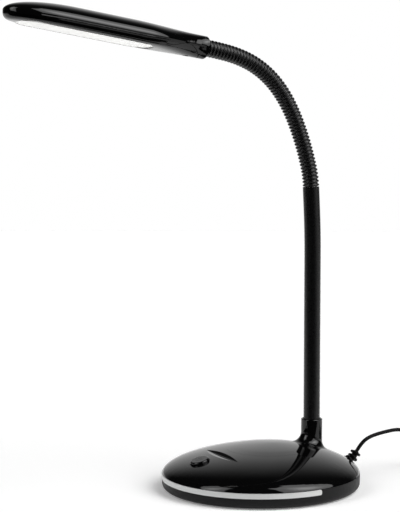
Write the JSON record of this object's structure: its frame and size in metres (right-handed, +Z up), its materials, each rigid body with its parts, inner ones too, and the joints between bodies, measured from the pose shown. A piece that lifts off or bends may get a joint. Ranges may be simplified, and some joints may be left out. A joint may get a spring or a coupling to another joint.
{
  "type": "gooseneck desk lamp",
  "caption": "Gloss black desk lamp: oval domed base with a silver strip and push button, ribbed bendable neck and a long slim light head.",
  "frame": {"origin": "middle of the foam pad under the base, on the table", "axes": "+Z up, -Y forward along the light head, +Y to the back where the cord leaves, +X to the lamp's left as seen from behind"},
  "size_m": [0.199, 0.4546, 0.3926],
  "materials": {
    "gloss_black": "piano gloss",
    "tray_charcoal": "fine matt grain",
    "silver_trim": "satin silver",
    "foam_pad": "closed-cell foam",
    "zinc_screws": "zinc plated",
    "ballast_steel": "rolled plate",
    "switch_black": "moulded",
    "circuit_board": "lacquered laminate",
    "component_black": "moulded",
    "connector_white": "moulded nylon",
    "lead_sheath": "smooth PVC",
    "sleeve_satin": "satin black",
    "nipple_steel": "zinc plated",
    "bush_nylon": "moulded nylon",
    "hose_rubber": "semi-gloss ribs",
    "core_steel": "soft drawn wire",
    "diffuser_opal": "opal acrylic",
    "reflector_white": "gloss white",
    "led_aluminium": "white lacquered",
    "led_phosphor": "phosphor lens",
    "cord_sheath": "smooth PVC",
    "tie_plastic": "ribbed strip",
    "plug_black": "moulded PVC",
    "pin_nickel": "nickel plated"
  },
  "bodies": {
    "base": {"base_shell": "gloss_black", "base_tray": "tray_charcoal", "trim_strip": "silver_trim", "foot_pad": "foam_pad", "base_screws": "zinc_screws", "ballast_plate": "ballast_steel", "switch_body": "switch_black", "switch_board": "circuit_board", "switch_screws": "zinc_screws", "driver_board": "circuit_board", "driver_screws": "zinc_screws", "driver_components": "component_black", "terminal_block": "connector_white", "lead_connector": "connector_white", "cord_inner_lead": "cord_sheath", "switch_lead": "lead_sheath", "stem_lead": "lead_sheath", "stem_sleeve": "sleeve_satin", "stem_nipple": "nipple_steel", "stem_washer": "zinc_screws", "stem_nut": "nipple_steel", "neck_bush": "bush_nylon", "strain_relief": "cord_sheath", "cord_free": "cord_sheath", "cord_coil": "cord_sheath", "cord_tail": "cord_sheath", "coil_tie": "tie_plastic", "plug_body": "plug_black", "plug_pins": "pin_nickel"},
    "button": {"power_button": "gloss_black", "switch_plunger": "switch_black"},
    "neck_1": {"neck_hose_1": "hose_rubber", "neck_core_1": "core_steel", "neck_retaining_ring": "zinc_screws"},
    "neck_2": {"neck_hose_2": "hose_rubber", "neck_core_2": "core_steel"},
    "neck_3": {"neck_hose_3": "hose_rubber", "neck_core_3": "core_steel"},
    "neck_4": {"neck_hose_4": "hose_rubber", "neck_core_4": "core_steel"},
    "neck_5": {"neck_hose_5": "hose_rubber", "neck_core_5": "core_steel"},
    "neck_6": {"neck_hose_6": "hose_rubber", "neck_core_6": "core_steel"},
    "neck_7": {"neck_hose_7": "hose_rubber", "neck_core_7": "core_steel"},
    "neck_8": {"neck_hose_8": "hose_rubber", "neck_core_8": "core_steel"},
    "neck_9": {"neck_hose_9": "hose_rubber", "neck_core_9": "core_steel", "head_retaining_ring": "zinc_screws"},
    "head": {"head_top_shell": "gloss_black", "head_bottom_frame": "gloss_black", "head_diffuser": "diffuser_opal", "head_reflector": "reflector_white", "led_board": "led_aluminium", "led_chips": "led_phosphor", "head_screw": "zinc_screws", "head_lead": "lead_sheath", "head_bush": "bush_nylon"}
  },
  "joints": [
    {"name": "neck_swing", "type": "hinge", "parent": "base", "child": "neck_1", "pos_m": [0, 0.04745, 0.24996], "axis": [0, -0.0523, 0.9986], "range_deg": [-90, 90]},
    {"name": "neck_bend_1", "type": "hinge", "parent": "neck_1", "child": "neck_2", "pos_m": [0, 0.04467, 0.26801], "axis": [1, 0, 0], "range_deg": [-10, 10]},
    {"name": "neck_bend_2", "type": "hinge", "parent": "neck_2", "child": "neck_3", "pos_m": [0, 0.0394, 0.28553], "axis": [1, 0, 0], "range_deg": [-10, 10]},
    {"name": "neck_bend_3", "type": "hinge", "parent": "neck_3", "child": "neck_4", "pos_m": [0, 0.03277, 0.30258], "axis": [1, 0, 0], "range_deg": [-10, 10]},
    {"name": "neck_bend_4", "type": "hinge", "parent": "neck_4", "child": "neck_5", "pos_m": [0, 0.0244, 0.31884], "axis": [1, 0, 0], "range_deg": [-10, 10]},
    {"name": "neck_bend_5", "type": "hinge", "parent": "neck_5", "child": "neck_6", "pos_m": [0, 0.01353, 0.33353], "axis": [1, 0, 0], "range_deg": [-10, 10]},
    {"name": "neck_bend_6", "type": "hinge", "parent": "neck_6", "child": "neck_7", "pos_m": [0, -0.0002, 0.34557], "axis": [1, 0, 0], "range_deg": [-10, 10]},
    {"name": "neck_bend_7", "type": "hinge", "parent": "neck_7", "child": "neck_8", "pos_m": [0, -0.01636, 0.35407], "axis": [1, 0, 0], "range_deg": [-10, 10]},
    {"name": "neck_bend_8", "type": "hinge", "parent": "neck_8", "child": "neck_9", "pos_m": [0, -0.03391, 0.35918], "axis": [1, 0, 0], "range_deg": [-10, 10]},
    {"name": "head_twist", "type": "hinge", "parent": "neck_9", "child": "head", "pos_m": [0, -0.05193, 0.36236], "axis": [0, -0.989, 0.1478], "range_deg": [-90, 90]},
    {"name": "button_press", "type": "slide", "parent": "base", "child": "button", "axis": [0, 0.2552, -0.9669], "range_m": [0, 0.0015], "stiffness_N_per_m": 1000, "springref_m": -0.001}
  ],
  "couplings": [
    {"joint": "neck_bend_2", "follows": "neck_bend_1", "ratio": 1},
    {"joint": "neck_bend_3", "follows": "neck_bend_1", "ratio": 1},
    {"joint": "neck_bend_4", "follows": "neck_bend_1", "ratio": 1},
    {"joint": "neck_bend_6", "follows": "neck_bend_5", "ratio": 1},
    {"joint": "neck_bend_7", "follows": "neck_bend_5", "ratio": 1},
    {"joint": "neck_bend_8", "follows": "neck_bend_5", "ratio": 1}
  ]
}
